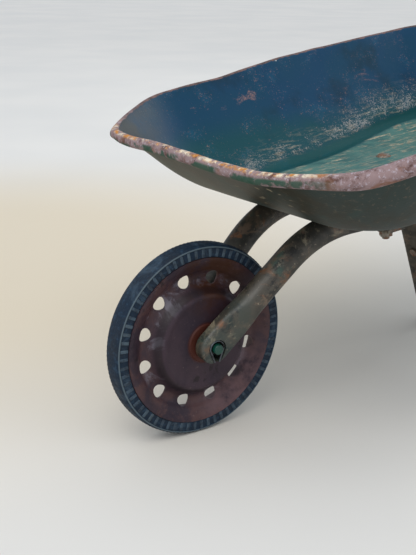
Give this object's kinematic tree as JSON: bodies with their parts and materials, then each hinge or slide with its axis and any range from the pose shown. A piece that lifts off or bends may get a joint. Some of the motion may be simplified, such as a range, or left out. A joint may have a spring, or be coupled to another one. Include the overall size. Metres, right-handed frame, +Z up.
{
  "type": "wheelbarrow",
  "caption": "Child's wheelbarrow: pressed steel tray with rolled rim on two bent tubes, disc wheel with rubber tyre, strap legs and rubber grips.",
  "frame": {"origin": "on the floor, in the middle of the barrow's outer box", "axes": "+X back towards the handles, so the wheel is at -X; +Z up; +Y to the right of a person holding the handles"},
  "size_m": [0.8058, 0.3706, 0.2992],
  "materials": {
    "tray_paint": "old deep teal enamel, chipped to fine rust",
    "rim_rust": "rusted steel with rubbed bright edges",
    "frame_paint": "weathered grey-green enamel with brown rust",
    "grip_rubber": "dull aged black rubber",
    "axle_green": "worn green enamel on steel",
    "spring_wire": "dark spring wire with rubbed bright edges",
    "black_steel": "black japanned steel",
    "fastener_steel": "dull steel with light rust",
    "wheel_rust": "purple-brown rusted steel",
    "bush_bronze": "plain bronze",
    "tyre_rubber": "blue-black aged rubber with pale dusty scuffs"
  },
  "bodies": {
    "frame": {"tray_pan": "tray_paint", "rim_wire": "rim_rust", "left_frame_tube": "frame_paint", "right_frame_tube": "frame_paint", "front_cross_strap": "frame_paint", "left_leg": "frame_paint", "right_leg": "frame_paint", "leg_brace": "frame_paint", "left_grip": "grip_rubber", "right_grip": "grip_rubber", "axle_rod": "axle_green", "left_axle_clip": "spring_wire", "right_axle_clip": "spring_wire", "left_axle_retainer": "black_steel", "right_axle_retainer": "black_steel", "left_axle_washer": "fastener_steel", "right_axle_washer": "fastener_steel", "tray_bolts": "fastener_steel", "tray_bolt_washers": "fastener_steel", "tray_nuts": "fastener_steel", "leg_bolts": "fastener_steel", "leg_nuts": "fastener_steel", "brace_rivets": "fastener_steel"},
    "wheel": {"wheel_disc": "wheel_rust", "hub_back_plate": "wheel_rust", "tyre_clamp_ring": "wheel_rust", "hub_tube": "wheel_rust", "left_hub_bush": "bush_bronze", "right_hub_bush": "bush_bronze", "tyre": "tyre_rubber"}
  },
  "joints": [
    {"name": "wheel_spin", "type": "hinge", "parent": "frame", "child": "wheel", "pos_m": [-0.32666, 0, 0.0762], "axis": [0, 1, 0], "continuous": true}
  ]
}
